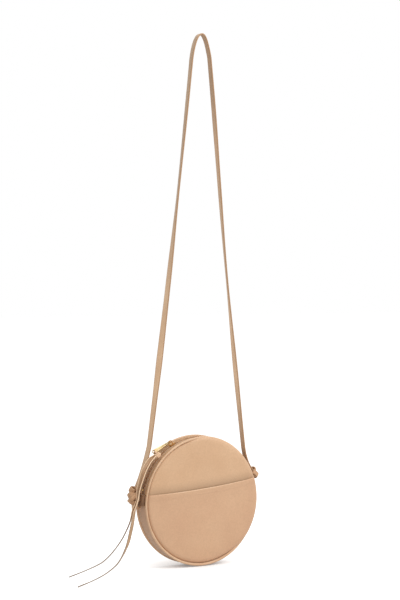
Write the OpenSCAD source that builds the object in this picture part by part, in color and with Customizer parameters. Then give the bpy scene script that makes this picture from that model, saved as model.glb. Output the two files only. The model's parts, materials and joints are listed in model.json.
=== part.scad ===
// Round shoulder bag that hangs from the top of its strap.
// X runs to the right seen from the front, Y away from the viewer, Z up.
// The origin is the inner face of the strap at its top.

/* [Bag] */
// Radius of the bag over its piping
bag_radius = 101.5; // [92:0.5:112]
// Width of the gusset between the two pipings
gusset_width = 22.6; // [21:0.2:32]
// Rise of each face from its edge to its middle
face_bulge = 4.5; // [2:0.5:9]
// Lean of the hanging bag, right side up, in degrees
bag_lean = 5; // [2:0.5:7]
// Distance of the bag's middle to the left of the strap's top
bag_offset = 6.6; // [0:0.2:12]

/* [Layers] */
// Thickness of the leather of the faces and the gusset
leather_thickness = 1.6; // [1:0.1:2]
// Thickness of the front pocket's leather
pocket_thickness = 1.4; // [0.8:0.1:2]
// Thickness of the stiffener boards
board_thickness = 2; // [1:0.1:2.6]
// Thickness of the lining cloth
lining_thickness = 0.6; // [0.4:0.1:0.8]
// Outer diameter of the piping
piping_diameter = 5; // [4:0.1:6]
// Diameter of the filler cord in the piping
piping_cord_diameter = 2.5; // [1.5:0.1:3]

/* [Pockets] */
// Height of the front pocket's mouth over the bag's middle, at its two ends
pocket_mouth_height = 22.5; // [5:0.5:40]
// Dip of the front pocket's mouth between its two ends
pocket_mouth_dip = 2.5; // [0.5:0.5:6]
// Width of the front pocket's turned hem
hem_width = 8; // [5:0.5:12]
// Extra thickness of the front pocket where its hem is turned
hem_fold = 1; // [0.6:0.1:1.6]
// Width of the pocket on the back lining
inner_pocket_width = 120; // [80:1:130]
// Height of the pocket on the back lining
inner_pocket_height = 84; // [50:1:90]
// Thickness of the leather of the pocket on the back lining
inner_pocket_thickness = 1.4; // [0.8:0.1:2]

/* [Zip] */
// Angle from the bag's right side to each end of the rows of teeth, in degrees
teeth_start_angle = 20; // [17:0.5:26]
// Angle from the bag's right side to the slider, in degrees
slider_angle = 112; // [106:0.5:114]
// Length of the slider
slider_length = 11; // [9:0.5:13]
// Width of the slider
slider_width = 8.4; // [8:0.1:9.6]
// Thickness of the zip tapes
tape_thickness = 0.6; // [0.4:0.1:0.8]
// Pitch of the teeth along the zip
tooth_pitch = 2; // [1.6:0.1:3]
// Length of the puller from its pivot to the middle of its hole
puller_length = 31; // [24:0.5:34]
// Thickness of the puller
puller_thickness = 1.4; // [1:0.1:1.6]
// Diameter of the hole in the puller
puller_hole_diameter = 4.6; // [4:0.1:5]

/* [Lugs] */
// Height of the middle of each lug over the bag's middle, as an angle in degrees
lug_angle = 8.5; // [7:0.5:10]
// Length of each lug along the gusset
lug_length = 17; // [13:0.5:18]
// Rise of the left lug's tunnel over the gusset
left_tunnel_rise = 4.4; // [4.2:0.1:5]
// Rise of the right lug's tunnel over the gusset
right_tunnel_rise = 3.3; // [3.2:0.1:3.8]
// Thickness of the lug's leather
lug_thickness = 1.7; // [1.2:0.1:2]

/* [Strap] */
// Drop from the strap's top to the bag's middle
strap_drop = 726; // [500:5:900]
// Width of the strap
strap_width = 11; // [8:0.5:13]
// Thickness of the strap
strap_thickness = 2.2; // [1.6:0.1:2.4]
// Width of the strap where it is folded round a lug
loop_width = 9; // [7:0.5:9.4]
// Half of the left knot's width
left_knot_radius = 8.5; // [7:0.1:9]
// Half of the left knot's length
left_knot_reach = 15.5; // [12:0.5:15.5]
// Half of the right knot's width
right_knot_radius = 7; // [6:0.1:7.4]
// Half of the right knot's length
right_knot_reach = 10; // [8:0.5:10]
// Length of the strap's cut end under the left knot
left_tail_length = 50; // [25:1:70]
// Length of the strap's cut end under the right knot
right_tail_length = 27; // [20:1:40]
// Width of the strap's cut ends at their tips
tail_tip_width = 6; // [4:0.5:7]

/* [Lace] */
// Diameter of the plain round lace
lace_diameter = 3; // [2:0.1:3.2]
// Diameter of the lace where it passes through the puller's hole
loop_lace_diameter = 1.8; // [1.4:0.1:2]
// Diameter of the lace's hitch
hitch_diameter = 7.2; // [6.6:0.1:7.6]
// Length of the lace's hitch
hitch_length = 8; // [7:0.5:10]

/* [Hidden] */
$fn = 96;

// Colours
leather_color = "#D8B491";
shade_color = "#B48F6F";
strap_color = "#C4A27E";
lining_color = "#C9B39A";
board_color = "#8C7B68";
tape_color = "#B89A7A";
metal_color = "#DFC9A0";
lace_color = "#EBC9A4";

// Clearances: between sewn layers, between metal pieces that move, and past the ends of a cut
ply_gap = 0.2;
run_gap = 0.3;
seat_gap = 0.05;
overrun = 4;

// Piping, gusset and the layers of a face, as heights from the bag's middle plane at the face's edge
piping_radius = piping_diameter / 2;
ring_radius = bag_radius - piping_radius;
piping_height = gusset_width / 2 + ply_gap + piping_radius;
face_radius = ring_radius - piping_radius - run_gap;
panel_top = piping_height + leather_thickness / 2;
board_top = panel_top - leather_thickness - ply_gap;
lining_top = board_top - board_thickness - ply_gap;
inner_pocket_top = lining_top - lining_thickness - ply_gap;
pocket_top = panel_top + ply_gap + pocket_thickness;
gusset_bottom = ring_radius - leather_thickness;
gusset_lining_top = gusset_bottom - ply_gap;
inner_pocket_mouth_share = 0.2;
crown_power = 3;
crown_steps = 12;

// Zip, as radii from the bag's middle and heights from its middle plane
tape_top = ring_radius - tape_thickness + ply_gap;
teeth_half_gap = 0.5;
teeth_width = 2.1;
teeth_height = 2.6;
tooth_notch = 0.5;
teeth_middle = tape_top - tape_thickness / 2 + run_gap;
teeth_outer = teeth_middle + teeth_height / 2;
teeth_inner = teeth_middle - teeth_height / 2;
teeth_edge = teeth_half_gap + teeth_width;
stop_length = 2;
plate_thickness = 1.2;
plate_bottom = teeth_outer + run_gap;
plate_top = plate_bottom + plate_thickness;
under_plate_thickness = 1.1;
under_plate_top = teeth_inner - run_gap;
flange_width = 0.8;
flange_gap = 0.25;
post_half_width = 0.35;
slider_side_room = 1.3;
zip_slot_half_width = slider_width / 2 + slider_side_room;

// Bridge on the slider and the puller that turns in it
bridge_width = 1.6;
bridge_wall = 1;
pivot_shift = 1.5;
puller_bar_radius = puller_thickness / 2;
bridge_clearance = 3;
pivot_radius = plate_top + bridge_clearance + puller_bar_radius - seat_gap;
bridge_reach = 2.3;
arm_side_gap = 0.5;
arm_inner = bridge_width / 2 + arm_side_gap;
arm_width = 0.9;
arm_end_room = 1.2;
arm_length = bridge_reach + bridge_wall + arm_end_room;
hole_rim = 0.9;
puller_end_radius = puller_hole_diameter / 2 + hole_rim;

// Lace where it hangs in the puller
loop_radius = 2.6;
loop_side = puller_end_radius - hole_rim / 2;
hitch_grip = 0.25;
hitch_side = loop_side + loop_radius + loop_lace_diameter / 2 + hitch_diameter / 2 - hitch_grip;
hitch_drop = 2.1;
hitch_ahead = 1;
hitch_turn = -8;

// Lugs
lug_half_angle = lug_length / 2 / ring_radius * 180 / PI;
seam_half_angle = ply_gap / 2 / ring_radius * 180 / PI;
zip_end_angle = lug_angle + lug_half_angle + seam_half_angle;
lug_foot = ring_radius + ply_gap;
lug_half_width = gusset_width / 2;
arch_power = 3;

// Swing of the bag in its strap's ends
swing_height = 26;
swing_forward = 1.1;
swing_radius = 13.5;
swing_gap = 0.2;

// Knots: places of their middles in the bag's own frame, and where the strap runs into them
left_knot_out = 11.4;
left_knot_drop = 2.4;
right_knot_out = 7.4;
right_knot_lift = 3;
left_knot_x = -(bag_radius + left_knot_out);
left_knot_y = 0;
left_knot_z = swing_height - left_knot_drop;
right_knot_x = bag_radius + right_knot_out;
right_knot_y = 3;
right_knot_z = swing_height + right_knot_lift;
left_entry = [left_knot_x + left_knot_radius * 0.6, left_knot_z + left_knot_reach * 0.4];
right_entry = [right_knot_x - right_knot_radius * 0.5, right_knot_z + right_knot_reach * 0.3];
knot_core_share = 0.86;
knot_power = 2.6;
knot_wrap_width = 9;
knot_wrap_tilt = 24;

// Turns of the strap round the lugs
left_leg_gap = 1.4;
right_leg_gap = 0.3;
left_turn_gap = 1.6;
right_turn_gap = 0.4;
right_turn_y = 2;
left_knot_side = bag_radius + left_knot_radius;
right_knot_side = bag_radius + right_knot_radius * 0.6;

// Strap, as shares of the way from its top to where it runs into a knot
leg_steps = 10;
left_leg_shares = [
    [0, 0], [0.08, 0], [0.128, 0.031], [0.15, 0.058],
    [0.327, 0.333], [0.584, 0.665], [0.792, 0.905],
    [0.836, 0.932], [0.905, 0.97], [1, 1]
];
right_leg_shares = [
    [0, 0], [0.072, 0], [0.118, 0.025], [0.16, 0.051],
    [0.278, 0.204], [0.357, 0.359], [0.47, 0.512],
    [0.577, 0.654], [0.711, 0.814], [0.821, 0.94],
    [0.845, 0.966], [0.9, 0.985], [1, 1]
];

// Strap ends under the knots, as shares of their length
left_tail_shares = [[0, 0], [0.02, 0.3], [0.1, 0.62], [0.2, 0.94]];
right_tail_shares = [[0, 0], [0.05, 0.3], [0.08, 0.7], [0.07, 1]];

// Routes of the two strands of the lace from the hitch, from the bag's middle
lace_sides = 8;
lace_steps = 2;
lace_front_route = [
    [-78, -11.5, 75.5], [-81, -11.5, 73], [-85, -12, 70], [-90, -13, 64], [-97.5, -14, 53],
    [-103.5, -14, 39], [-109, -14, 24], [-112, -14.5, 9], [-116, -15, -9], [-121, -17, -25],
    [-127, -21, -38], [-136, -27, -53], [-148, -35, -67], [-163, -44, -80], [-181, -53, -88],
    [-198, -61, -93], [-223, -74, -97], [-249, -86, -100]
];
lace_back_route = [
    [-78, -8, 75.5], [-81.5, -8, 73], [-86.5, -8.5, 70], [-92.5, -9.5, 64], [-100, -10.5, 53],
    [-106.5, -11, 39], [-110.5, -11, 24], [-111.5, -11, 10], [-115, -11, 1], [-119.5, -11.5, -6],
    [-122, -11.5, -15], [-124.5, -11, -24], [-129.5, -10, -36], [-138, -9, -51], [-151, -8, -67],
    [-164, -7, -79], [-177, -7, -86], [-202, -7, -94], [-225, -7, -100]
];

// Rise of a face over its edge at a given radius
function crown(r) = face_bulge * (1 - pow(r / face_radius, crown_power));

// Place in the hanging frame of a point of the bag's own frame, both as x and z
function hung(p) = [
    -bag_offset + p[0] * cos(bag_lean) - p[1] * sin(bag_lean),
    -strap_drop + p[0] * sin(bag_lean) + p[1] * cos(bag_lean)
];

function bezier_point(c, s) =
    pow(1 - s, 3) * c[0] + 3 * s * pow(1 - s, 2) * c[1]
    + 3 * s * s * (1 - s) * c[2] + pow(s, 3) * c[3];

// Points along a chain of cubic curves that share their end points
function bezier_run(c, steps) = concat(
    [for (k = [0:3:len(c) - 2], i = [0:steps - 1])
        bezier_point([c[k], c[k + 1], c[k + 2], c[k + 3]], i / steps)],
    [c[len(c) - 1]]
);

function unit(v) = v / norm(v);
function run_tangent(p, i) = unit(p[min(i + 1, len(p) - 1)] - p[max(i - 1, 0)]);
function run_side(p, i, d) = p[i] + d * [-run_tangent(p, i)[1], run_tangent(p, i)[0]];

// Outline of a strip of a given thickness along a run of points
function strip_outline(p, thickness) = concat(
    [for (i = [0:len(p) - 1]) run_side(p, i, thickness / 2)],
    [for (i = [len(p) - 1:-1:0]) run_side(p, i, -thickness / 2)]
);

// Closed profile with a flat cut at each end, for a knot or a hitch
function barrel_radius(r, reach, z) = r * pow(1 - pow(abs(z) / reach, knot_power), 1 / knot_power);
function barrel_profile(r, reach, steps) = concat(
    [[0, -reach]],
    [for (i = [1:steps - 1]) let (z = -reach * cos(180 * i / steps)) [barrel_radius(r, reach, z), z]],
    [[0, reach]]
);

// Smooth run through the points of a route
function route_point(p, i, s) = let (
    a = p[max(i - 1, 0)],
    b = p[i],
    c = p[i + 1],
    d = p[min(i + 2, len(p) - 1)]
) 0.5 * (2 * b + (c - a) * s + (2 * a - 5 * b + 4 * c - d) * s * s + (3 * b - a - 3 * c + d) * s * s * s);

function route_run(p) = concat(
    [for (i = [0:len(p) - 2], k = [0:lace_steps - 1]) route_point(p, i, k / lace_steps)],
    [p[len(p) - 1]]
);

// From the bag's own frame to the hanging frame
module hang() {
    translate([-bag_offset, 0, -strap_drop])
        rotate([0, -bag_lean, 0])
            children();
}

// Turns the bag's axis to Z, so that its front is up
module drum() {
    hang()
        rotate([90, 0, 0])
            children();
}

// The same for a piece of the back, which is drawn as on the front
module back_drum() {
    drum()
        mirror([0, 0, 1])
            children();
}

// Frame on the gusset: X outwards, Y to the back, Z along the gusset, counter-clockwise from the front
module at_angle(a) {
    hang()
        rotate([0, -a, 0])
            children();
}

// Strip bent round the bag's axis, from one angle and height to another
module bent_strip(bottom, top, low, high, from, to) {
    rotate([0, 0, from])
        rotate_extrude(angle = to - from)
            translate([bottom, low])
                square([top - bottom, high - low]);
}

// Round face that follows the crown
module crowned_disc(top, thickness) {
    radii = [for (i = [0:crown_steps]) face_radius * i / crown_steps];
    rotate_extrude()
        polygon(concat(
            [for (r = radii) [r, top + crown(r)]],
            [for (i = [crown_steps:-1:0]) [radii[i], top - thickness + crown(radii[i])]]
        ));
}

// Region of a face between two heights over the mouth of the front pocket
module mouth_region(low, high) {
    middle = pocket_mouth_height - pocket_mouth_dip;
    xs = [for (i = [-crown_steps:crown_steps]) (face_radius + overrun) * i / crown_steps];
    linear_extrude(height = pocket_top + hem_fold + face_bulge + overrun)
        polygon(concat(
            [for (x = xs) [x, high + middle + pocket_mouth_dip * pow(x / face_radius, 2)]],
            [for (i = [len(xs) - 1:-1:0])
                [xs[i], low + middle + pocket_mouth_dip * pow(xs[i] / face_radius, 2)]]
        ));
}

// Full run of the strap, into both knots
module strap_run() {
    top = [0, strap_thickness / 2];
    left_way = hung(left_entry) - top;
    right_way = hung(right_entry) - top;
    left_points = bezier_run(
        [for (s = left_leg_shares) [s[0] * left_way[0], s[1] * left_way[1]]], leg_steps);
    right_points = bezier_run(
        [for (s = right_leg_shares) [s[0] * right_way[0], s[1] * right_way[1]]], leg_steps);
    run = concat(
        [for (i = [len(left_points) - 1:-1:1]) top + left_points[i]],
        [for (p = right_points) top + p]
    );
    rotate([90, 0, 0])
        linear_extrude(height = strap_width, center = true)
            polygon(strip_outline(run, strap_thickness));
}

// Round bar along the axis on which the bag swings, past the knot of one side
module swing_bar(radius, side) {
    length = bag_radius / 2;
    hang()
        translate([side * (bag_radius + length / 3), -swing_forward, swing_height])
            rotate([0, 90, 0])
                cylinder(r = radius, h = length, center = true);
}

module shoulder_strap() {
    color(strap_color)
        difference() {
            strap_run();
            swing_bar(swing_radius + swing_gap, -1);
            swing_bar(swing_radius + swing_gap, 1);
        }
}

module front_panel() {
    color(leather_color)
        drum()
            crowned_disc(panel_top, leather_thickness);
}

module back_panel() {
    color(leather_color)
        back_drum()
            crowned_disc(panel_top, leather_thickness);
}

module front_pocket() {
    color(leather_color)
        drum() {
            intersection() {
                crowned_disc(pocket_top, pocket_thickness);
                mouth_region(-2 * bag_radius, -hem_width / 2);
            }
            intersection() {
                crowned_disc(pocket_top + hem_fold, pocket_thickness + hem_fold);
                mouth_region(-hem_width, 0);
            }
        }
}

module inner_pocket() {
    bottom = inner_pocket_height * (inner_pocket_mouth_share - 1);
    color(lining_color)
        back_drum()
            intersection() {
                crowned_disc(inner_pocket_top, inner_pocket_thickness);
                translate([-inner_pocket_width / 2, bottom, 0])
                    cube([inner_pocket_width, inner_pocket_height, panel_top + face_bulge]);
            }
}

module piping() {
    rotate_extrude()
        translate([ring_radius, piping_height])
            difference() {
                circle(r = piping_radius, $fn = 32);
                circle(d = piping_cord_diameter + ply_gap, $fn = 32);
            }
}

module piping_cord() {
    rotate_extrude()
        translate([ring_radius, piping_height])
            circle(d = piping_cord_diameter, $fn = 32);
}

module front_piping() {
    color(leather_color)
        drum()
            piping();
}

module back_piping() {
    color(leather_color)
        back_drum()
            piping();
}

module front_piping_cord() {
    color(lining_color)
        drum()
            piping_cord();
}

module back_piping_cord() {
    color(lining_color)
        back_drum()
            piping_cord();
}

module front_stiffener() {
    color(board_color)
        drum()
            crowned_disc(board_top, board_thickness);
}

module back_stiffener() {
    color(board_color)
        back_drum()
            crowned_disc(board_top, board_thickness);
}

module lining_front() {
    color(lining_color)
        drum()
            crowned_disc(lining_top, lining_thickness);
}

module lining_back() {
    color(lining_color)
        back_drum()
            crowned_disc(lining_top, lining_thickness);
}

// Lining of the gusset, slit under the zip
module lining_gusset() {
    bottom = gusset_lining_top - lining_thickness;
    edge = lining_top - lining_thickness;
    slot = zip_slot_half_width;
    color(lining_color)
        drum()
            difference() {
                bent_strip(bottom, gusset_lining_top, -edge, edge, 0, 360);
                bent_strip(bottom - overrun, gusset_lining_top + overrun, -slot, slot,
                    zip_end_angle, 180 - zip_end_angle);
            }
}

module bottom_gusset() {
    from = 180 - zip_end_angle + 2 * seam_half_angle;
    to = 360 + zip_end_angle - 2 * seam_half_angle;
    color(shade_color)
        drum()
            bent_strip(gusset_bottom, ring_radius, -gusset_width / 2, gusset_width / 2, from, to);
}

module zip_tape() {
    bent_strip(tape_top - tape_thickness, tape_top, teeth_edge + ply_gap, gusset_width / 2,
        zip_end_angle, 180 - zip_end_angle);
}

module zip_tape_front() {
    color(tape_color)
        drum()
            zip_tape();
}

module zip_tape_back() {
    color(tape_color)
        back_drum()
            zip_tape();
}

// One row of teeth: a bent bar with a notch between each two teeth
module zip_teeth() {
    span = 180 - 2 * teeth_start_angle;
    count = round(span / 180 * PI * ring_radius / tooth_pitch);
    step = span / count;
    outer = [for (i = [0:count - 1], k = [0:3])
        let (
            a = teeth_start_angle + step * (i + [0, 0.6, 0.7, 0.9][k]),
            r = teeth_outer - (k < 2 ? 0 : tooth_notch)
        ) r * [cos(a), sin(a)]];
    inner = [for (i = [count - 1:-1:0])
        let (a = teeth_start_angle + step * i) teeth_inner * [cos(a), sin(a)]];
    translate([0, 0, teeth_half_gap])
        linear_extrude(height = teeth_width)
            polygon(concat(outer, inner));
}

module zip_teeth_front() {
    color(tape_color)
        drum()
            zip_teeth();
}

module zip_teeth_back() {
    color(tape_color)
        back_drum()
            zip_teeth();
}

// Metal stop that grips both tapes past the end of the teeth
module zip_stop(a) {
    half = stop_length / 2 / ring_radius * 180 / PI;
    bent_strip(teeth_inner + tooth_notch, teeth_outer - tooth_notch, -teeth_edge, teeth_edge,
        a - half, a + half);
}

module zip_stop_left() {
    color(metal_color)
        drum()
            zip_stop(180 - (teeth_start_angle + zip_end_angle + lug_half_angle / 4) / 2);
}

module zip_stop_right() {
    color(metal_color)
        drum()
            zip_stop((teeth_start_angle + zip_end_angle + lug_half_angle / 4) / 2);
}

// Section of the slider across the zip: two plates with flanges round the teeth and tapes
module slider_section() {
    half = slider_width / 2;
    flange_bottom = tape_top + flange_gap;
    under_flange_top = tape_top - tape_thickness - flange_gap;
    translate([plate_bottom, -half])
        square([plate_thickness, slider_width]);
    translate([under_plate_top - under_plate_thickness, -half])
        square([under_plate_thickness, slider_width]);
    for (y = [-half, half - flange_width]) {
        translate([flange_bottom, y])
            square([plate_bottom - flange_bottom, flange_width]);
        translate([under_plate_top, y])
            square([under_flange_top - under_plate_top, flange_width]);
    }
}

// The slider: its wide end, where the tapes part, is on the left
module zip_slider_body() {
    half = slider_length / 2;
    wide = slider_width / 2;
    narrow = wide - flange_width * 0.7;
    corner = slider_width / 5;
    half_angle = half / ring_radius * 180 / PI;
    color(metal_color) {
        intersection() {
            drum()
                rotate([0, 0, slider_angle - half_angle])
                    rotate_extrude(angle = 2 * half_angle)
                        slider_section();
            at_angle(slider_angle)
                rotate([90, 0, 90])
                    linear_extrude(height = plate_top + overrun)
                        polygon([
                            [-narrow, -half + corner], [-narrow + corner, -half],
                            [narrow - corner, -half], [narrow, -half + corner],
                            [wide, 0], [wide, half - corner], [wide - corner, half],
                            [-wide + corner, half], [-wide, half - corner], [-wide, 0]
                        ]);
        }
        at_angle(slider_angle)
            translate([under_plate_top - under_plate_thickness / 2, -post_half_width, 0])
                cube([
                    plate_bottom - under_plate_top + under_plate_thickness, 2 * post_half_width, half * 0.7
                ]);
    }
}

// Arch on the slider that holds the puller's cross bar
module zip_slider_bridge() {
    foot = plate_top + seat_gap;
    inside = pivot_radius + puller_bar_radius + run_gap;
    top = inside + bridge_wall;
    out = bridge_reach + bridge_wall;
    bevel = bridge_wall * 1.4;
    color(metal_color)
        at_angle(slider_angle)
            translate([0, 0, pivot_shift])
                rotate([90, 0, 0])
                    linear_extrude(height = bridge_width, center = true)
                        polygon([
                            [foot, -out], [top - bevel, -out], [top, -out + bevel], [top, out - bevel],
                            [top - bevel, out], [foot, out], [foot, bridge_reach],
                            [inside - bevel / 2, bridge_reach], [inside, bridge_reach - bevel / 2],
                            [inside, -bridge_reach + bevel / 2], [inside - bevel / 2, -bridge_reach],
                            [foot, -bridge_reach]
                        ]);
}

// Frame of the puller's pivot: X outwards, Y to the back, Z along the puller
module at_pivot() {
    at_angle(slider_angle)
        translate([pivot_radius, 0, pivot_shift])
            children();
}

module zip_puller() {
    arm_outer = arm_inner + arm_width;
    color(metal_color)
        at_pivot() {
            rotate([90, 0, 0])
                cylinder(r = puller_bar_radius, h = 2 * arm_outer, center = true, $fn = 32);
            for (y = [-arm_outer, arm_inner])
                translate([-puller_bar_radius, y, 0])
                    cube([puller_thickness, arm_width, arm_length]);
            rotate([90, 0, 90])
                linear_extrude(height = puller_thickness, center = true)
                    difference() {
                        union() {
                            polygon([
                                [-arm_outer, arm_length - arm_width], [arm_outer, arm_length - arm_width],
                                [puller_end_radius, puller_length], [-puller_end_radius, puller_length]
                            ]);
                            translate([0, puller_length])
                                circle(r = puller_end_radius);
                        }
                        translate([0, puller_length])
                            circle(d = puller_hole_diameter);
                    }
        }
}

// Leather arch over the gusset, sewn in at its feet
module lug(rise, a) {
    outer_rise = rise + lug_thickness;
    inner_half = lug_half_width - lug_thickness;
    steps = 16;
    rotate([0, 0, a - lug_half_angle])
        rotate_extrude(angle = 2 * lug_half_angle)
            polygon(concat(
                [for (i = [0:steps]) let (c = cos(180 * i / steps), s = sin(180 * i / steps))
                    [lug_foot + outer_rise * pow(s, 2 / arch_power),
                     lug_half_width * sign(c) * pow(abs(c), 2 / arch_power)]],
                [for (i = [steps:-1:0]) let (c = cos(180 * i / steps), s = sin(180 * i / steps))
                    [lug_foot + rise * pow(s, 2 / arch_power),
                     inner_half * sign(c) * pow(abs(c), 2 / arch_power)]]
            ));
}

module left_lug() {
    color(leather_color)
        drum()
            lug(left_tunnel_rise, 180 - lug_angle);
}

module right_lug() {
    color(leather_color)
        drum()
            lug(right_tunnel_rise, lug_angle);
}

// Strap turned round a lug, in a frame with X outwards and Z down along the gusset.
// It comes from the knot over the lug, goes down the tunnel and back up outside to the knot.
module strap_turn(leg_gap, rise, turn_gap, knot_x, knot_z) {
    leg = ring_radius + leg_gap + strap_thickness / 2;
    outside = lug_foot + rise + lug_thickness + turn_gap + strap_thickness / 2;
    end = lug_length / 2 + run_gap;
    bend = (outside - leg) / 2;
    over = bezier_run([
        [knot_x, knot_z], [leg + bend, knot_z - bend / 2], [leg, -end - 2 * bend], [leg, -end]
    ], leg_steps);
    under = [for (i = [0:leg_steps]) let (a = 180 * i / leg_steps)
        [leg + bend - bend * cos(a), end + bend * sin(a)]];
    rotate([90, 0, 0])
        linear_extrude(height = loop_width, center = true)
            polygon(strip_outline(concat(over, under, [[outside, 0]]), strap_thickness));
}

module left_strap_loop() {
    color(strap_color)
        at_angle(180 - lug_angle)
            translate([0, left_knot_y, 0])
                strap_turn(left_leg_gap, left_tunnel_rise, left_turn_gap,
                    left_knot_side, -lug_length * 0.65);
}

module right_strap_loop() {
    color(strap_color)
        at_angle(lug_angle)
            mirror([0, 0, 1])
                translate([0, right_turn_y, 0])
                    strap_turn(right_leg_gap, right_tunnel_rise, right_turn_gap,
                        right_knot_side, -lug_length * 0.8);
}

// Knot of the strap: a core with two turns that cross it at a slant
module knot(radius, reach) {
    shift = reach - knot_wrap_width * 0.6;
    rotate_extrude($fn = 48)
        polygon(barrel_profile(radius * knot_core_share, reach, 12));
    for (side = [-1, 1])
        translate([0, 0, side * shift / 2])
            rotate([side * knot_wrap_tilt, 0, 0])
                rotate_extrude($fn = 48)
                    translate([radius - 2 * strap_thickness, -knot_wrap_width / 2])
                        polygon([
                            [0, 0], [1.6 * strap_thickness, 0],
                            [2 * strap_thickness, knot_wrap_width * 0.2],
                            [2 * strap_thickness, knot_wrap_width * 0.8],
                            [1.6 * strap_thickness, knot_wrap_width], [0, knot_wrap_width]
                        ]);
}

// The piece of strap that runs into a knot, up to where the bag swings
module knot_neck(side) {
    intersection() {
        strap_run();
        swing_bar(swing_radius - swing_gap, side);
    }
}

module left_knot() {
    color(strap_color) {
        hang()
            translate([left_knot_x, left_knot_y, left_knot_z])
                knot(left_knot_radius, left_knot_reach);
        knot_neck(-1);
    }
}

module right_knot() {
    color(strap_color) {
        hang()
            translate([right_knot_x, right_knot_y, right_knot_z])
                knot(right_knot_radius, right_knot_reach);
        knot_neck(1);
    }
}

// Cut end of the strap under a knot, drawn in to its tip
module strap_tail(shares, length, side) {
    run = bezier_run([for (s = shares) [side * s[0] * length, -s[1] * length]], leg_steps);
    intersection() {
        rotate([90, 0, 0])
            linear_extrude(height = strap_width, center = true)
                polygon(strip_outline(run, strap_thickness));
        translate([-length, 0, 0])
            rotate([90, 0, 90])
                linear_extrude(height = 2 * length)
                    polygon([
                        [-loop_width / 2, overrun], [loop_width / 2, overrun],
                        [tail_tip_width / 2, -length], [-tail_tip_width / 2, -length]
                    ]);
    }
}

module left_strap_tail() {
    color(strap_color)
        hang()
            translate([left_knot_x, left_knot_y, left_knot_z - left_knot_reach * 0.85])
                strap_tail(left_tail_shares, left_tail_length, -1);
}

module right_strap_tail() {
    color(strap_color)
        hang()
            translate([right_knot_x, right_knot_y, right_knot_z - right_knot_reach * 0.8])
                strap_tail(right_tail_shares, right_tail_length, 1);
}

// Lace through the puller's hole and round its edge
module lace_loop() {
    color(lace_color)
        at_pivot()
            translate([0, -loop_side, puller_length])
                rotate_extrude($fn = 48)
                    translate([loop_radius, 0])
                        circle(d = loop_lace_diameter, $fn = 24);
}

// Lace knotted round itself beside the puller
module lace_hitch() {
    color(lace_color)
        at_pivot()
            translate([-hitch_drop, -hitch_side, puller_length + hitch_ahead])
                rotate([0, hitch_turn, 0])
                    rotate_extrude($fn = 48)
                        polygon([
                            [0, -hitch_length / 2], [hitch_diameter * 0.34, -hitch_length / 2],
                            [hitch_diameter * 0.46, -hitch_length * 0.36], [hitch_diameter / 2, 0],
                            [hitch_diameter * 0.46, hitch_length * 0.36],
                            [hitch_diameter * 0.34, hitch_length / 2], [0, hitch_length / 2]
                        ]);
}

// Round strand swept along a route
module strand(route) {
    p = route_run(route);
    n = len(p);
    rings = [for (i = [0:n - 1], k = [0:lace_sides - 1])
        let (
            t = run_tangent(p, i),
            u = unit(cross(t, [0, 1, 0])),
            v = cross(u, t),
            a = 360 * (k + 0.5) / lace_sides
        ) p[i] + lace_diameter / 2 * (u * cos(a) + v * sin(a))];
    sides = [for (i = [0:n - 2], k = [0:lace_sides - 1])
        let (a = i * lace_sides + k, b = i * lace_sides + (k + 1) % lace_sides)
            each [[a, b, a + lace_sides], [b, b + lace_sides, a + lace_sides]]];
    last = (n - 1) * lace_sides;
    ends = [for (k = [1:lace_sides - 2])
        each [[0, k + 1, k], [last, last + k, last + k + 1]]];
    translate([-bag_offset, 0, -strap_drop])
        polyhedron(points = rings, faces = concat(sides, ends));
}

module lace_front() {
    color(lace_color)
        strand(lace_front_route);
}

module lace_back() {
    color(lace_color)
        strand(lace_back_route);
}

shoulder_strap();
front_panel();
back_panel();
front_pocket();
inner_pocket();
front_piping();
back_piping();
front_piping_cord();
back_piping_cord();
front_stiffener();
back_stiffener();
lining_front();
lining_back();
lining_gusset();
bottom_gusset();
zip_tape_front();
zip_tape_back();
zip_teeth_front();
zip_teeth_back();
zip_stop_left();
zip_stop_right();
zip_slider_body();
zip_slider_bridge();
zip_puller();
left_lug();
right_lug();
left_strap_loop();
right_strap_loop();
left_knot();
right_knot();
left_strap_tail();
right_strap_tail();
lace_loop();
lace_hitch();
lace_front();
lace_back();
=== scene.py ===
import json
import bmesh
import bpy
from math import asin, atan2, copysign, cos, degrees, exp, hypot, pi, radians, sin, sqrt
from mathutils import Matrix, Vector, noise


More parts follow.
